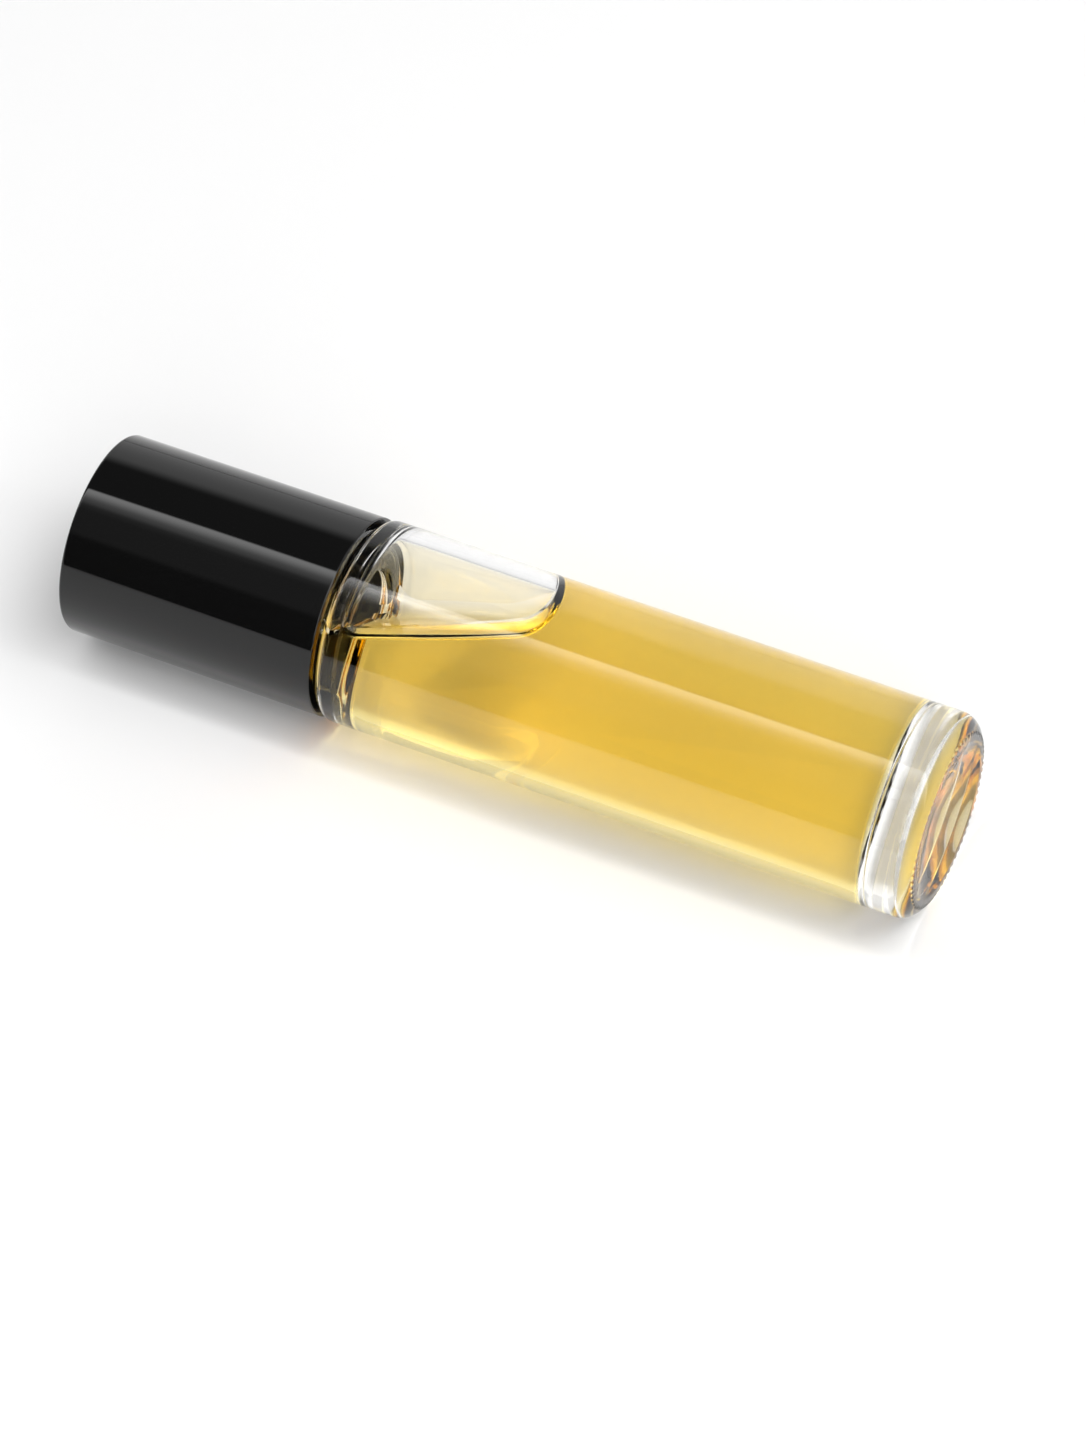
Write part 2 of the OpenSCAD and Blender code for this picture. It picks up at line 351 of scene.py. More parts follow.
def lathe(name, section, facets):
    """Turns a section of (radius, height) points into a closed skin. Its ends lie on the axis or join up."""
    section = without_repeats(section)
    vertices, rings = [], []
    for radius, height in section:
        count = facets if radius > 0 else 1
        rings.append([len(vertices) + i for i in range(count)])
        vertices += [place(radius, 2 * math.pi * i / facets, height) for i in range(count)]
    pairs = list(zip(rings, rings[1:]))
    if section[0][0] > 0:
        pairs.append((rings[-1], rings[0]))
    faces = []
    for near, far in pairs:
        for i in range(facets):
            j = (i + 1) % facets
            if len(near) == 1:
                faces.append((near[0], far[j], far[i]))
            elif len(far) == 1:
                faces.append((near[i], near[j], far[0]))
            else:
                faces.append((near[i], near[j], far[j], far[i]))
    return mesh_object(name, vertices, faces)


def smooth(piece, angle=30):
    """Smooth shading with edges sharper than angle kept."""
    piece.data.shade_smooth()
    piece.data.set_sharp_from_angle(angle=math.radians(angle))
    return piece


def finish_piece(piece, material, body, slot, *nodes):
    """Gives a piece its material, the body that carries it and the nodes it stands for. Its slot is not used.
    """
    piece.data.materials.clear()
    piece.data.materials.append(material)
    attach(piece, body)
    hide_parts(*nodes)
    return piece


def apply_tree(piece, tree, values):
    """Runs a tree of Geometry Nodes on a piece and keeps the result as its plain mesh."""
    modifier = piece.modifiers.new(tree.name, "NODES")
    modifier.node_group = tree
    for item in tree.interface.items_tree:
        if item.in_out == "INPUT" and item.name in values:
            modifier[item.identifier] = values[item.name]
    shaped = piece.evaluated_get(bpy.context.evaluated_depsgraph_get())
    mesh = bpy.data.meshes.new_from_object(shaped)
    piece.modifiers.remove(modifier)
    piece.data = mesh
    return piece


def new_tree(name, inputs):
    """An empty tree of Geometry Nodes with a mesh and named sizes as inputs. Returns it and their wires."""
    tree = bpy.data.node_groups.new(name, "GeometryNodeTree")
    tree.interface.new_socket(name="Mesh", in_out="INPUT", socket_type="NodeSocketGeometry")
    for size, kind in inputs.items():
        tree.interface.new_socket(name=size, in_out="INPUT", socket_type=kind)
    tree.interface.new_socket(name="Mesh", in_out="OUTPUT", socket_type="NodeSocketGeometry")
    start = tree.nodes.new("NodeGroupInput")
    return tree, {end.name: Wire(tree, end) for end in start.outputs if end.name}


def close_tree(tree, mesh, material):
    """The tree's end: instances made real, the material set, and the output."""
    real = add_node(tree, "GeometryNodeRealizeInstances", None, {"Geometry": mesh})
    dressed = add_node(tree, "GeometryNodeSetMaterial", None, {"Geometry": real, "Material": material})
    add_node(tree, "NodeGroupOutput", None, {"Mesh": dressed})
    return tree


def around_axis(tree):
    """Radius, angle from the top as a share of a turn, and height of a point, in metres."""
    place_of = add_node(tree, "GeometryNodeInputPosition")
    parts = tree.nodes.new("ShaderNodeSeparateXYZ")
    tree.links.new(place_of.end, parts.inputs[0])
    x, y, z = (Wire(tree, parts.outputs[i]) for i in range(3))
    up = z - AXIS_Z * MM
    radius = (up * up + y * y) ** 0.5
    turn = y.math("ARCTAN2", y, up) / (2 * math.pi)
    return radius, turn, OVERALL / 2 * MM - x, y / radius, up / radius


def thread_sizes(root_r, start, turns, side):
    """What a thread's tree takes: side is 1 for a ridge outwards and -1 for one inwards."""
    return {
        "Root radius": root_r * MM,
        "Depth": THREAD_DEPTH * MM,
        "Start": start * MM,
        "Pitch": PITCH * MM,
        "Turns": float(turns),
        "Fade": FADE_TURN,
        "Foot": RIDGE_FOOT * MM,
        "Crest": RIDGE_CREST * MM,
        "Side": float(side),
    }


def thread_tree(name, material):
    """Raises a helical ridge from a round wall, outwards or, with side -1, inwards."""
    sizes = ("Root radius", "Depth", "Start", "Pitch", "Turns", "Fade", "Foot", "Crest", "Side")
    tree, sockets = new_tree(name, {size: "NodeSocketFloat" for size in sizes})
    root, depth, start, pitch, turns, fade, foot, crest, side = (sockets[size] for size in sizes)
    radius, turn, height, across, up = around_axis(tree)
    passes = (height - start) / pitch - turn
    nearest = passes.math("ROUND", passes)
    along = nearest + turn
    off = abs(passes - nearest) * pitch
    profile = ((foot / 2 - off) / ((foot - crest) / 2)).over(0, 1)
    share = along.math("MINIMUM", along, turns - along) / fade
    raised = side * depth * profile * share.over(0, 1)
    on_wall = abs(radius - root) < THREAD_NEAR * MM
    shift = {0: 0.0, 1: raised * across, 2: raised * up}
    offset = add_node(tree, "ShaderNodeCombineXYZ", None, shift)
    values = {"Geometry": sockets["Mesh"], "Selection": on_wall, "Offset": offset}
    return close_tree(tree, add_node(tree, "GeometryNodeSetPosition", None, values), material)


def bars_tree(material):
    """Brings the heel's round down to the base's level in short bars, which leaves grooves between them."""
    sizes = {"Count": "NodeSocketInt", "Inner radius": "NodeSocketFloat", "Outer radius": "NodeSocketFloat"}
    tree, sockets = new_tree("grip_bars", sizes | {"Edge": "NodeSocketFloat"})
    radius, turn, height, _, _ = around_axis(tree)
    inner, outer, edge = (sockets[size] for size in ("Inner radius", "Outer radius", "Edge"))
    phase = (turn * sockets["Count"]).math("FRACT", turn * sockets["Count"])
    groove = abs(phase - 0.5).over(*BAR_SIDE)
    zone = radius.over(inner - edge, inner + edge) * (1 - radius.over(outer - edge, outer + edge))
    low = height < BAR_TALL * MM
    offset = add_node(tree, "ShaderNodeCombineXYZ", None, {0: zone * (height * (1 - groove))})
    values = {"Geometry": sockets["Mesh"], "Selection": low, "Offset": offset}
    return close_tree(tree, add_node(tree, "GeometryNodeSetPosition", None, values), material)


def slots_tree(material):
    """Cuts slots, set evenly round the axis, out of a mesh."""
    sizes = {"Count": "NodeSocketInt", "Slot": "NodeSocketVector", "Height": "NodeSocketFloat"}
    tree, sockets = new_tree("oil_slots", sizes)
    ring = add_node(tree, "GeometryNodeMeshCircle", None, {"Vertices": sockets["Count"], "Radius": MM})
    slot = add_node(tree, "GeometryNodeMeshCube", None, {"Size": sockets["Slot"]})
    parts = tree.nodes.new("ShaderNodeSeparateXYZ")
    tree.links.new(sockets["Slot"].end, parts.inputs[0])
    half = {0: Wire(tree, parts.outputs[0]) / 2}
    start = add_node(tree, "ShaderNodeCombineXYZ", None, half)
    outwards = add_node(tree, "GeometryNodeTransform", None, {"Geometry": slot, "Translation": start})
    spot = add_node(tree, "GeometryNodeInputPosition")
    turn = add_node(tree, "FunctionNodeAlignRotationToVector", {"axis": "X"}, {"Vector": spot})
    values = {"Points": ring, "Instance": outwards, "Rotation": turn}
    placed = add_node(tree, "GeometryNodeInstanceOnPoints", None, values)
    values = {"Geometry": placed, "Rotation": (0, math.pi / 2, 0)}
    laid = add_node(tree, "GeometryNodeTransform", None, values)
    middle = {0: OVERALL / 2 * MM - sockets["Height"], 2: AXIS_Z * MM}
    values = {"Geometry": laid, "Translation": add_node(tree, "ShaderNodeCombineXYZ", None, middle)}
    cutters = add_node(tree, "GeometryNodeTransform", None, values)
    cutters = add_node(tree, "GeometryNodeRealizeInstances", None, {"Geometry": cutters})
    settings = {"operation": "DIFFERENCE", "solver": "EXACT"}
    cut = add_node(tree, "GeometryNodeMeshBoolean", settings, {"Mesh 1": sockets["Mesh"], "Mesh 2": cutters})
    return close_tree(tree, cut, material)


def new_material(name):
    """An empty material. Returns it and its tree."""
    material = bpy.data.materials.new(name)
    material.use_nodes = True
    material.node_tree.nodes.clear()
    return material, material.node_tree


def surface(tree, shader, volume=None):
    """Links a shader, and what fills the piece, to the material's output."""
    output = tree.nodes.new("ShaderNodeOutputMaterial")
    tree.links.new(shader.end, output.inputs["Surface"])
    if volume:
        tree.links.new(volume.end, output.inputs["Volume"])


def principled(tree, **values):
    """A Principled shader, with its sockets named in plain words."""
    sockets = {name.replace("_", " "): value for name, value in values.items()}
    return add_node(tree, "ShaderNodeBsdfPrincipled", None, sockets)


def see_through(tree, ior, **values):
    """A clear Principled shader that bends light."""
    return principled(tree, Roughness=0.0, IOR=ior, Transmission_Weight=1.0, **values)


def colour_between(tree, share, low, high):
    """A colour that a share moves from low to high: a Mix node's sockets 0, 6 and 7, and its output 2."""
    return add_node(tree, "ShaderNodeMix", {"data_type": "RGBA"}, {0: share, 6: low, 7: high}, 2)


def object_place(tree):
    """Object coordinates, in metres."""
    return add_node(tree, "ShaderNodeTexCoord", None, None, "Object")


def noise(tree, scale, detail=2.0, roughness=0.5, squeeze=(1, 1, 1)):
    """Noise over the piece, of a scale per metre, drawn out where squeeze is small."""
    mapped = add_node(tree, "ShaderNodeMapping", None, {"Vector": object_place(tree), "Scale": squeeze})
    values = {"Vector": mapped, "Scale": scale, "Detail": detail, "Roughness": roughness}
    return add_node(tree, "ShaderNodeTexNoise", None, values)


def bump(tree, height, distance, strength=1.0):
    """A normal from a height."""
    values = {"Height": height, "Distance": distance, "Strength": strength}
    return add_node(tree, "ShaderNodeBump", None, values)


def in_pocket(tree):
    """1 where the oil's surface leaves the glass dry, and 0 in the oil, on a wall round the axis."""
    parts = tree.nodes.new("ShaderNodeSeparateXYZ")
    tree.links.new(object_place(tree).end, parts.inputs[0])
    x, y, z = (Wire(tree, parts.outputs[i]) / MM for i in range(3))
    height = OVERALL / 2 - x
    reach = math.sqrt(MENISCUS_R**2 - (MENISCUS_R - MENISCUS_PAST) ** 2)
    up = (y * math.sin(LEAN) + (z - AXIS_Z) * math.cos(LEAN)) * (MENISCUS_AXIS_R / CAVITY_R)
    across = y * math.cos(LEAN) - (z - AXIS_Z) * math.sin(LEAN)
    past = height.math("MAXIMUM", height - (INNER_TOP - CLIMB_R), 0)
    climb = CLIMB_R - (CLIMB_R**2 - past.math("MINIMUM", past * past, CLIMB_R**2)) ** 0.5
    height = height - SKEW * across
    plane = OIL_RISE + (INNER_TOP - height) * math.tan(TILT) + (MENISCUS_R - reach) / math.cos(TILT)
    plane = plane + climb * abs(across).over(CLIMB_IN, CLIMB_OUT)
    turn_z = CURL_Z - (CURL_R - MENISCUS_R) * math.sin(TILT)
    above_plane = (up > plane) * (height > turn_z)
    curl = (up - CURL_U) ** 2 + (height - CURL_Z) ** 2 < (CURL_R - MENISCUS_R + reach) ** 2
    return above_plane.math("MAXIMUM", above_plane, curl * (1 - (height > turn_z)))


def glass_material():
    """Clear pressed glass. Its inner wall bends light less where it is in the oil, and where it is dry it
    is tinted cream with painted golden light."""
    material, tree = new_material("clear_pressed_glass")
    inner = add_node(tree, "ShaderNodeAttribute", {"attribute_name": "wetted"}, None, "Fac")
    wet = inner * (1 - in_pocket(tree))
    waves = bump(tree, noise(tree, 90, 1.0), 0.02 * MM, 0.3)
    # Painted golden light: the dry inner wall is tinted cream
    painted_light_tint = colour_between(tree, inner, WHITE, PAINTED_GOLD_LIGHT)
    dry = see_through(tree, GLASS_IOR, Base_Color=painted_light_tint, Normal=waves)
    wetted = see_through(tree, GLASS_IOR / OIL_IOR, Base_Color=WHITE)
    surface(tree, add_node(tree, "ShaderNodeMixShader", None, {0: wet, 1: dry, 2: wetted}))
    return material


def oil_material():
    """Golden oil: it has a surface of its own only where it meets the air."""
    material, tree = new_material("golden_oil")
    free = add_node(tree, "ShaderNodeAttribute", {"attribute_name": "free"}, None, "Fac")
    skin = add_node(tree, "ShaderNodeBsdfTransparent")
    face = see_through(tree, OIL_IOR, Base_Color=WHITE)
    mixed = add_node(tree, "ShaderNodeMixShader", None, {0: free, 1: skin, 2: face})
    values = {"Color": OIL_COLOUR, "Density": OIL_DENSITY}
    surface(tree, mixed, add_node(tree, "ShaderNodeVolumeAbsorption", None, values))
    return material


def gloss_black():
    """Black plastic with a deep gloss and the faint waves of a moulding."""
    material, tree = new_material("gloss_black_plastic")
    waves = bump(tree, noise(tree, 120, 1.0), 0.01 * MM, 0.4)
    rough = 0.03 + 0.03 * noise(tree, 900, 3.0)
    surface(tree, principled(tree, Base_Color=GLOSS_BLACK, Roughness=rough, IOR=GLOSS_IOR, Normal=waves))
    return material


def satin_black():
    """Black plastic with a fine satin grain."""
    material, tree = new_material("satin_black_plastic")
    grain = noise(tree, 6000, 2.0)
    rough = 0.4 + 0.12 * grain
    fine = bump(tree, grain, 0.01 * MM, 0.3)
    surface(tree, principled(tree, Base_Color=SATIN_BLACK, Roughness=rough, Normal=fine))
    return material


def soft_plastic(name, low, high, scale, grain_size):
    """Pale soft plastic, slightly cloudy, with a fine grain."""
    material, tree = new_material(name)
    cloud = colour_between(tree, noise(tree, scale, 2.0), low, high)
    grain = noise(tree, grain_size, 2.0)
    rough = 0.35 + 0.15 * grain
    values = {"Base_Color": cloud, "Roughness": rough, "Normal": bump(tree, grain, 0.01 * MM, 0.3)}
    surface(tree, principled(tree, Subsurface_Weight=0.2, Subsurface_Radius=SOFT_GLOW, **values))
    return material


def polished_steel():
    """Polished steel with hair-fine marks."""
    material, tree = new_material("polished_steel")
    marks = noise(tree, 3000, 4.0, 0.6, (1, 0.15, 1))
    rough = 0.05 + 0.08 * marks
    fine = bump(tree, marks, 0.002 * MM, 0.2)
    surface(tree, principled(tree, Base_Color=STEEL, Metallic=1.0, Roughness=rough, Normal=fine))
    return material


def cavity_section(grown, step):
    """Section of the space in the glass, from the bottom's middle up to the plug, grown a little."""
    radius = CAVITY_R + grown
    heel = INNER_HEEL_R + grown
    edge = arc(CAVITY_R - INNER_HEEL_R, BASE_THICK + INNER_HEEL_R, heel, -90 + BOWL_SLOPE, 0, 20)
    bowl = edge[0][0] / math.sin(math.radians(BOWL_SLOPE))
    middle = edge[0][1] + bowl * math.cos(math.radians(BOWL_SLOPE))
    points = [(0, middle - bowl)] + arc(0, middle, bowl, -90, -90 + BOWL_SLOPE, 16)[1:-1] + edge
    shoulder_z = INNER_TOP - INNER_SHOULDER_R
    points += run(points[-1], (radius, CURL_START_Z - FINE_BELOW), step * 20)
    points += run(points[-1], (radius, shoulder_z), step)
    points += arc(CAVITY_R - INNER_SHOULDER_R, shoulder_z, INNER_SHOULDER_R + grown, 0, 90, 16)
    points += arc(BORE_R + MOUTH_ROUND, INNER_TOP + MOUTH_ROUND, MOUTH_ROUND - grown, 270, 180, 12)
    return points


def glass_section():
    """Section of the glass, from the hollow's middle round the outside and back through the inside."""
    side = BODY_R - SEAM_H
    ball = (PUNT_R**2 + PUNT_DEPTH**2) / (2 * PUNT_DEPTH)
    slope = math.degrees(math.asin(PUNT_R / ball))
    edge_r = PUNT_R + PUNT_EDGE_R * math.tan(math.radians(slope / 2))
    edge = arc(edge_r, PUNT_EDGE_R, PUNT_EDGE_R, -90 - slope, -90, 4)
    rise = math.degrees(math.asin(edge[0][0] / ball))
    points = [(0, PUNT_DEPTH)] + arc(0, PUNT_DEPTH - ball, ball, 90, 90 - rise, 14)[1:-1] + edge
    points += arc(side - HEEL_R, HEEL_R, HEEL_R, -90, -60, 18)
    points += arc(side - HEEL_R, HEEL_R, HEEL_R, -60, 0, 12)
    for i in range(SEAM_STEPS + 1):
        share = (1 - math.cos(2 * math.pi * i / SEAM_STEPS)) / 2
        points.append((side + SEAM_H * share, SEAM_Z + SEAM_W * (i / SEAM_STEPS - 0.5)))
    points += arc(side - SHOULDER_R, GLASS_LEN - SHOULDER_R, SHOULDER_R, 0, 90, 22)
    points += arc(NECK_R + NECK_FILLET, GLASS_LEN + NECK_FILLET, NECK_FILLET, 270, 180, 6)
    thread_low = NECK_RIDGE_Z - RIDGE_FOOT
    thread_high = NECK_RIDGE_Z + NECK_TURNS * PITCH + RIDGE_FOOT
    points += run((NECK_R, thread_low), (NECK_R, thread_high), THREAD_STEP)
    points += arc(NECK_R - RIM_ROUND, NECK_TOP - RIM_ROUND, RIM_ROUND, 0, 90, 8)
    points += arc(BORE_R + RIM_IN_ROUND, NECK_TOP - RIM_IN_ROUND, RIM_IN_ROUND, 90, 180, 6)
    return points


def glass_vial(material):
    """The vial: one closed skin, with its inner wall marked below the plug."""
    outside = glass_section()
    inside = cavity_section(0, 5) + [(BORE_R, PLUG_Z)]
    piece = lathe("vial_glass", outside + inside[::-1], GLASS_FACETS)
    sizes = thread_sizes(NECK_R, NECK_RIDGE_Z, NECK_TURNS, 1)
    apply_tree(piece, thread_tree("neck_thread", material), sizes)
    sizes = {
        "Count": BAR_COUNT,
        "Inner radius": BAR_IN_R * MM,
        "Outer radius": BAR_OUT_R * MM,
        "Edge": BAR_EDGE * MM,
    }
    apply_tree(piece, bars_tree(material), sizes)
    mesh = piece.data
    places = np.array([v.co for v in mesh.vertices])
    radius = np.hypot(places[:, 1], places[:, 2] - AXIS_Z * MM) / MM
    height = OVERALL / 2 - places[:, 0] / MM
    in_cavity = (height > BASE_THICK - BOWL_ROOM) & (height < INNER_TOP + WALL_MARGIN)
    in_bore = (height > INNER_TOP - WALL_MARGIN) & (height < PLUG_Z + WALL_MARGIN)
    inner = in_cavity & (radius < CAVITY_R + WALL_MARGIN)
    inner |= in_bore & (radius < BORE_R + MOUTH_ROUND + WALL_MARGIN)
    wetted = mesh.attributes.new("wetted", "FLOAT", "FACE")
    wetted.data.foreach_set("value", [float(all(inner[v] for v in f.vertices)) for f in mesh.polygons])
    return smooth(piece)


def surface_section():
    """Middle line of the oil's surface, as rows of its height, its level along the direction that leans, and
    the two parts of the way into the oil. It ends where the rounds at the two sides meet."""
    rows = []
    for height in np.arange(TUBE_TOP + 2 * CUTTER_PAST, CURL_START_Z, -SURFACE_STEP):
        level = OIL_RISE + (INNER_TOP - height) * math.tan(TILT)
        rows.append((height, level, -math.sin(TILT), -math.cos(TILT)))
    last = math.acos((CURL_U - MENISCUS_AXIS_R) / (CURL_R - MENISCUS_R)) - 1e-3
    for angle in np.linspace(TILT, last, CURL_STEPS):
        along, down = -math.sin(angle), -math.cos(angle)
        rows.append((CURL_Z + CURL_R * along, CURL_U + CURL_R * down, along, down))
    return rows


def surface_profile(row):
    """Points of the oil's surface across the bottle: a level middle, and a round that climbs the glass
    on each side."""
    height, level, along, down = row
    centre = np.array((height - along * MENISCUS_R, level - down * MENISCUS_R))
    across = math.sqrt(MENISCUS_AXIS_R**2 - centre[1] ** 2)
    into_oil = np.array((along, down, 0))
    to_wall = np.array((0, centre[1], across)) / MENISCUS_AXIS_R
    bend = math.acos(float(np.clip(into_oil @ to_wall, -1, 1)))
    side = []
    for share in np.linspace(0, 1, MENISCUS_STEPS):
        way = (math.sin(bend * (1 - share)) * into_oil + math.sin(bend * share) * to_wall) / math.sin(bend)
        side.append(np.array((*centre, across)) + MENISCUS_R * way)
    side.append(np.array((centre[0], *(to_wall[1:] * (MENISCUS_WALL_R + CUTTER_PAST)))))
    shares = np.linspace(-1, 1, SURFACE_COLUMNS)[1:-1]
    middle = [np.array((height, level, across * share)) for share in shares]
    mirror = np.array((1, 1, -1))
    return [point * mirror for point in side[::-1]] + middle + side


def shoulder_climb(height, across):
    """How far the oil climbs the shoulder's inside, beside the neck's mouth."""
    past = min(max(height - (INNER_TOP - CLIMB_R), 0), CLIMB_R)
    share = min(max((abs(across) - CLIMB_IN) / (CLIMB_OUT - CLIMB_IN), 0), 1)
    return (CLIMB_R - math.sqrt(CLIMB_R**2 - past**2)) * share * share * (3 - 2 * share)


def pocket_tool():
    """The air over the oil as a block, to be cut out of the oil."""
    rows = surface_section()
    vertices, faces = [], []
    for row in rows:
        profile = surface_profile(row)
        columns = len(profile)
        roof = [(end[0], CUTTER_TOP, end[2]) for end in (profile[-1], profile[0])]
        for height, level, across in profile + roof:
            slanted = height + SKEW * across
            if level < CUTTER_TOP:
                level += shoulder_climb(slanted, across)
            turned = math.atan2(across, level) + LEAN
            vertices.append(place(math.hypot(level, across), turned, slanted))
    count = columns + 2
    for i in range(len(rows) - 1):
        for j in range(count):
            k = (j + 1) % count
            faces.append((i * count + j, i * count + k, (i + 1) * count + k, (i + 1) * count + j))
    for first in (0, (len(rows) - 1) * count):
        faces.append(tuple(first + j for j in (0, columns - 1, columns, columns + 1)))
        for j in range(columns // 2):
            low, high = j, columns - 1 - j
            if high - low > 2:
                faces.append(tuple(first + v for v in (low, low + 1, high - 1, high)))
            elif high - low == 2:
                faces.append(tuple(first + v for v in (low, low + 1, high)))
    return mesh_object("pocket_tool", vertices, faces)


def oil():
    """The oil: the space in the glass less the air, with its free surface marked."""
    tube_r = BORE_R - RIB_H - PLUG_WALL
    section = cavity_section(SKIN, OIL_STEP)
    section += run((BORE_R + SKIN, INNER_TOP + 1), (BORE_R + SKIN, PLUG_Z), OIL_STEP)
    section += [(tube_r, PLUG_Z), (tube_r, TUBE_TOP), (0, TUBE_TOP)]
    piece = lathe("oil", section, OIL_FACETS)
    tool = pocket_tool()
    for name in ("wall", "free"):
        piece.data.materials.append(bpy.data.materials.new(name))
        tool.data.materials.append(piece.data.materials[-1])
    tool.data.polygons.foreach_set("material_index", [1] * len(tool.data.polygons))
    cut = piece.modifiers.new("pocket", "BOOLEAN")
    cut.operation = "DIFFERENCE"
    cut.solver = "EXACT"
    cut.object = tool
    mesh = bpy.data.meshes.new_from_object(piece.evaluated_get(bpy.context.evaluated_depsgraph_get()))
    piece.modifiers.remove(cut)
    piece.data = mesh
    bpy.data.objects.remove(tool)
    free = mesh.attributes.new("free", "FLOAT", "FACE")
    marks = np.zeros(len(mesh.polygons), np.int32)
    mesh.polygons.foreach_get("material_index", marks)
    free.data.foreach_set("value", marks.astype(np.float32))
    mesh.polygons.foreach_set("material_index", np.zeros_like(marks))
    return smooth(piece, 25)


def fitment(material):
    """The roller's housing: a ribbed plug, a collar and a rounded cup, with slots under the ball."""
    plug_r = BORE_R - RIB_H
    socket_r = BALL_R + BALL_CLEAR
    cup_r = socket_r + SOCKET_WALL
    lip_rise = LIP_Z - BALL_Z
    lip_r = math.sqrt(socket_r**2 - lip_rise**2)
    cup_round = cup_r - lip_r - LIP_T
    tube_r = plug_r - PLUG_WALL
    pitch = (NECK_TOP - PLUG_Z - RIB_W) / (RIB_COUNT + 1)
    edge = PLASTIC_EDGE
    points = [(tube_r, PLUG_Z)] + arc(plug_r - edge, PLUG_Z + edge, edge, -90, 0, 4)
    for i in range(1, RIB_COUNT + 1):
        middle = PLUG_Z + i * pitch + RIB_W / 2
        points += arc(plug_r - RIB_ROUND, middle, RIB_W / 2, -65, 65, 8)
    points += [(plug_r, NECK_TOP)]
    points += arc(COLLAR_R - edge, NECK_TOP + edge, edge, -90, 0, 4)
    points += arc(COLLAR_R - edge * 2, NECK_TOP + COLLAR_T - edge * 2, edge * 2, 0, 90, 5)
    points += arc(cup_r + edge, NECK_TOP + COLLAR_T + edge, edge, 270, 180, 4)
    points += arc(cup_r - cup_round, LIP_Z - cup_round, cup_round, 0, 88, 14)
    points += [(lip_r + edge, LIP_Z)]
    low = -math.degrees(math.acos(FEED_R / socket_r))
    high = math.degrees(math.asin(lip_rise / socket_r))
    points += arc(0, BALL_Z, socket_r, high, low, 40)
    points += [(FEED_R, TUBE_TOP), (tube_r, TUBE_TOP)]
    piece = lathe("fitment", points, 144)
    sizes = {
        "Count": SLOT_COUNT,
        "Slot": ((FEED_R + SLOT_W) * MM, SLOT_W * MM, SLOT_LEN * MM),
        "Height": (TUBE_TOP + SLOT_RISE) * MM,
    }
    return smooth(apply_tree(piece, slots_tree(material), sizes))


def roller_ball():
    """The ball, as a finely divided cube blown up to a sphere."""
    skin = bmesh.new()
    bmesh.ops.create_cube(skin, size=2)
    bmesh.ops.subdivide_edges(skin, edges=skin.edges, cuts=40, use_grid_fill=True)
    centre = Vector(place(0, 0, BALL_Z))
    for v in skin.verts:
        v.co = centre + v.co.normalized() * BALL_R * MM
    mesh = bpy.data.meshes.new("steel_roller_ball")
    skin.to_mesh(mesh)
    skin.free()
    piece = bpy.data.objects.new("steel_roller_ball", mesh)
    bpy.context.scene.collection.objects.link(piece)
    return smooth(piece, 60)


def cap_shell():
    """The cap's outer shell."""
    top_r = CAP_R - CAP_DRAFT
    inner_r = top_r - SHELL_WALL
    ceiling = OVERALL - SHELL_TOP
    corner = 0.3
    points = [(0, OVERALL)] + arc(top_r - TOP_ROUND, OVERALL - TOP_ROUND, TOP_ROUND, 90, 0, 12)
    points += arc(CAP_R - LIP_ROUND, RIM_Z + LIP_ROUND, LIP_ROUND, 0, -90, 8)
    points += arc(inner_r + LIP_ROUND, RIM_Z + LIP_ROUND, LIP_ROUND, -90, -180, 6)
    points += arc(inner_r - corner, ceiling - corner, corner, 0, 90, 6) + [(0, ceiling)]
    return smooth(lathe("gloss_cap_shell", points, 360), 40)


def liner_sleeve(material):
    """The threaded sleeve in the cap."""
    bore = NECK_R + THREAD_DEPTH + CREST_CLEAR
    flank = math.atan((RIDGE_FOOT - RIDGE_CREST) / 2 / THREAD_DEPTH)
    start = NECK_RIDGE_Z - (RIDGE_FOOT + RIDGE_CREST) / 2 - FLANK_CLEAR / math.cos(flank) - PITCH
    room_top = NECK_RIDGE_Z + NECK_TURNS * PITCH + RIDGE_FOOT
    bead_r = NECK_R + CREST_CLEAR
    upper_r = bead_r + BEAD_IN
    edge = 0.15
    floor_top = SEAL_TOP + SEAL_CLEAR + FLOOR_T
    points = [(0, floor_top), (upper_r, floor_top), (upper_r, SLEEVE_TOP)]
    points += arc(SLEEVE_R - edge, SLEEVE_TOP - edge, edge, 90, 0, 4)
    points += arc(SLEEVE_R - edge, SLEEVE_Z + edge, edge, 0, -90, 4)
    points += arc(bore + edge, SLEEVE_Z + edge, edge, -90, -180, 4)
    points += run((bore, start - RIDGE_FOOT), (bore, room_top), THREAD_STEP * 1.5)
    points += [(upper_r, room_top), (upper_r, SEAL_Z - BEAD_H)]
    points += arc(bead_r + edge, SEAL_Z - BEAD_H + edge, edge, -90, -180, 4) + [(bead_r, SEAL_Z - SEAL_CLEAR)]
    points += [(upper_r, SEAL_Z - SEAL_CLEAR), (upper_r, SEAL_TOP + SEAL_CLEAR), (0, SEAL_TOP + SEAL_CLEAR)]
    piece = lathe("liner_sleeve", points, 288)
    sizes = thread_sizes(bore, start, CAP_TURNS, -1)
    return smooth(apply_tree(piece, thread_tree("cap_thread", material), sizes))


def seal_disc():
    """The loose disc over the ball, dished to fit it."""
    socket_r = BALL_R + BALL_CLEAR
    depth = SEAL_Z - BALL_Z
    high = math.degrees(math.asin(depth / socket_r))
    edge = 0.15
    points = arc(0, BALL_Z, socket_r, 90, high, 12)
    points[0] = (0, BALL_Z + socket_r)
    points += arc(SEAL_R - edge, SEAL_Z + edge, edge, -90, 0, 4)
    points += arc(SEAL_R - edge, SEAL_TOP - edge, edge, 0, 90, 4) + [(0, SEAL_TOP)]
    return smooth(lathe("seal_disc", points, 144))


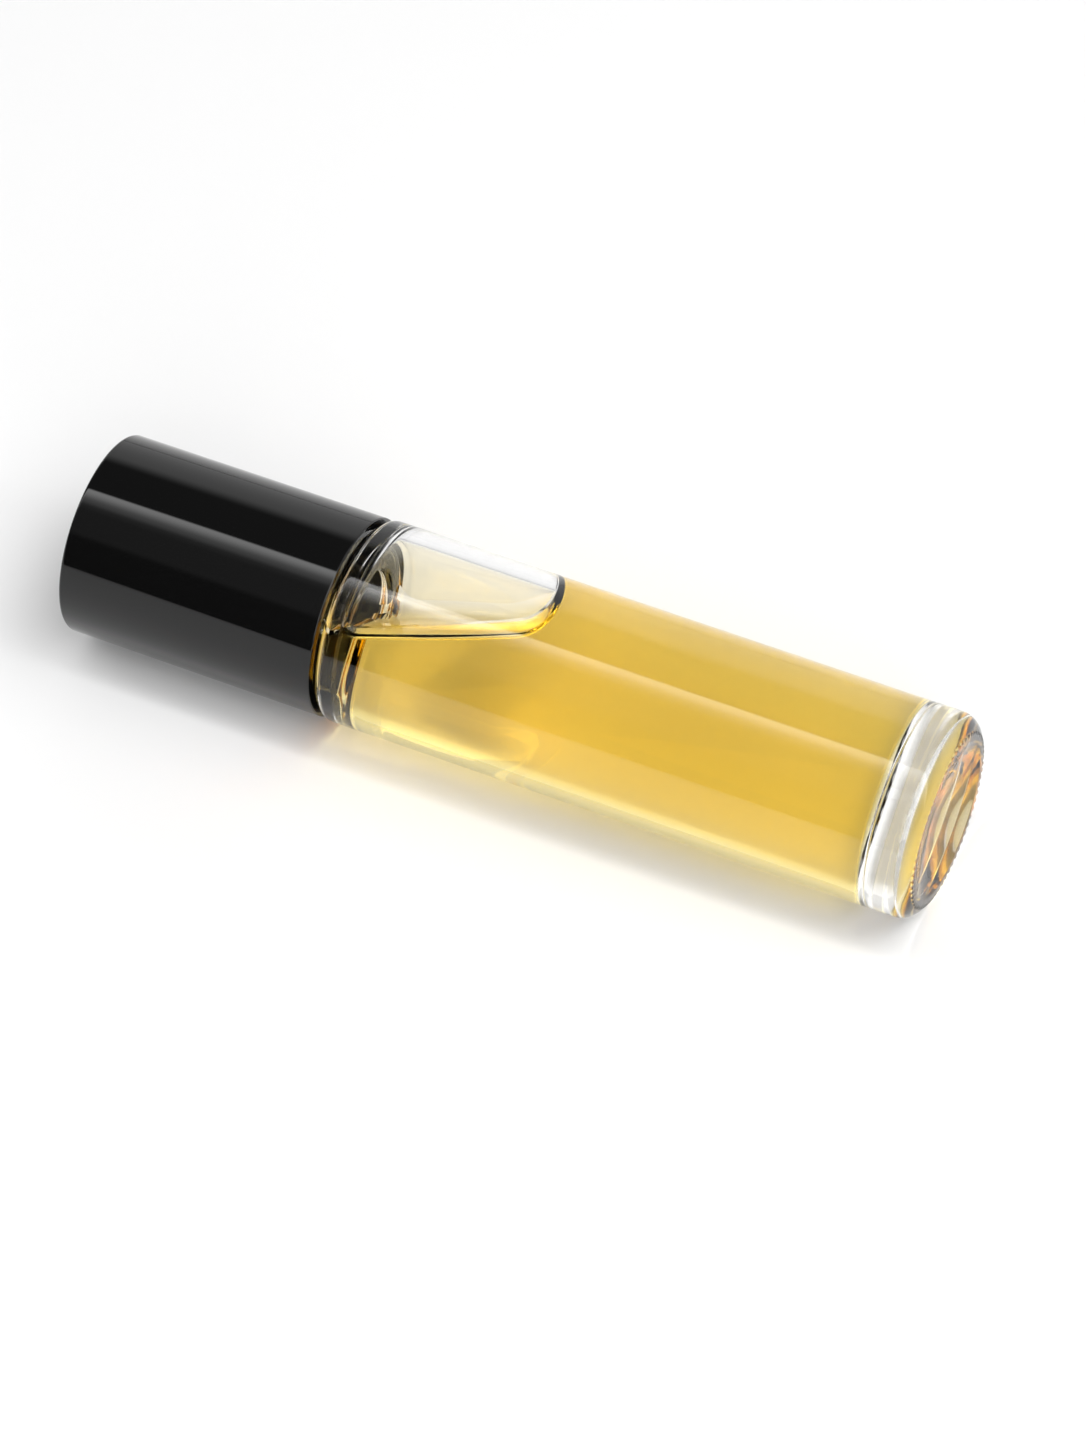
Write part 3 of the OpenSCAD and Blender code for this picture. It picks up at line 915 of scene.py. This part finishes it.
def make_camera():
    """The camera that fits the photograph."""
    azimuth, elevation = CAMERA_AZIMUTH, CAMERA_ELEVATION
    flat = math.cos(elevation)
    back = Vector((math.sin(azimuth) * flat, -math.cos(azimuth) * flat, math.sin(elevation)))
    right = Vector((math.cos(azimuth), math.sin(azimuth), 0))
    up = back.cross(right)
    camera = bpy.data.objects.new("camera", bpy.data.cameras.new("camera"))
    camera.data.sensor_width = SENSOR
    camera.data.lens = FOCAL_PX * SENSOR / FRAME_H
    camera.data.clip_start = 0.01
    camera.data.clip_end = 50
    turn = Matrix((right, up, back)).transposed().to_4x4()
    camera.matrix_world = Matrix.Translation((CAMERA_TARGET + back * CAMERA_DISTANCE) * MM) @ turn
    bpy.context.scene.collection.objects.link(camera)
    bpy.context.scene.camera = camera


def softbox(name, elevation, side, strength):
    """A rectangular light that faces the bottle. Elevation runs from the front over the top to the back."""
    light = bpy.data.lights.new(name, "AREA")
    light.shape = "RECTANGLE"
    light.size, light.size_y = SOFTBOX_SIZE
    light.energy = strength
    lamp = bpy.data.objects.new(name, light)
    a = math.radians(elevation)
    across = math.sqrt(1 - side * side)
    way = Vector((side, -math.cos(a) * across, math.sin(a) * across))
    lamp.location = way * SOFTBOX_DISTANCE
    lamp.rotation_mode = "QUATERNION"
    lamp.rotation_quaternion = way.to_track_quat("Z", "Y")
    bpy.context.scene.collection.objects.link(lamp)


def make_floor():
    """A wide pale floor, which isn't part of the object."""
    material, tree = new_material("pale_floor")
    rough = 0.7 + 0.1 * noise(tree, 400, 2.0)
    surface(tree, principled(tree, Base_Color=FLOOR_GREY, Roughness=rough, Specular_IOR_Level=0.2))
    floor = bpy.data.objects.new("floor", bpy.data.meshes.new("floor"))
    ways = ((-1, -1), (1, -1), (1, 1), (-1, 1))
    corners = [(x * FLOOR_REACH, y * FLOOR_REACH, 0) for x, y in ways]
    floor.data.from_pydata(corners, [], [(0, 1, 2, 3)])
    floor.data.materials.append(material)
    bpy.context.scene.collection.objects.link(floor)


def make_sky():
    """A soft tent of light, brightest overhead, that the gloss and the glass mirror."""
    world = bpy.data.worlds.new("studio")
    bpy.context.scene.world = world
    world.use_nodes = True
    tree = world.node_tree
    tree.nodes.clear()
    way = add_node(tree, "ShaderNodeTexCoord", None, None, "Generated")
    parts = tree.nodes.new("ShaderNodeSeparateXYZ")
    tree.links.new(way.end, parts.inputs[0])
    y, z = (Wire(tree, parts.outputs[i]) for i in (1, 2))
    elevation = z.math("ARCTAN2", z, -y) * (180 / math.pi)
    front = sum(strength * elevation.over(low, high) for strength, low, high in SKY_FRONT)
    strength, low, high = SKY_BACK
    back = SKY_BACK_LEAST + strength * elevation.over(low, high)
    behind = elevation.over(*SKY_TURN)
    light = front * (1 - behind) + back * behind
    sky = add_node(tree, "ShaderNodeBackground", None, {"Color": WHITE, "Strength": light})
    output = tree.nodes.new("ShaderNodeOutputWorld")
    tree.links.new(sky.end, output.inputs["Surface"])


def make_studio():
    """A pale floor and plain soft light, with enough bounces for the glass."""
    scene = bpy.context.scene
    scene.view_settings.view_transform = "Standard"
    scene.cycles.blur_glossy = 0.0
    scene.cycles.max_bounces = 32
    scene.cycles.transmission_bounces = 32
    scene.cycles.transparent_max_bounces = 16
    make_floor()
    make_sky()
    for name, (elevation, side, strength) in SOFTBOXES.items():
        softbox(name, elevation, side, strength)


make_camera()
glass = glass_material()
satin = satin_black()
natural = soft_plastic("natural_soft_plastic", *NATURAL, 300, 4000)
foam = soft_plastic("soft_seal_foam", *FOAM, 500, 2500)
finish_piece(glass_vial(glass), glass, "bottle", "clear_glass", "glass_bottle")
finish_piece(oil(), oil_material(), "bottle", "golden_oil", "oil_fill")
finish_piece(fitment(natural), natural, "bottle", "natural_plastic", "roller_housing")
finish_piece(roller_ball(), polished_steel(), "ball", "steel_ball", "roller_ball")
finish_piece(cap_shell(), gloss_black(), "cap", "black_plastic", "cap_shell")
finish_piece(liner_sleeve(satin), satin, "cap", "black_liner", "cap_sleeve")
finish_piece(seal_disc(), foam, "seal", "soft_seal", "cap_seal")
make_studio()
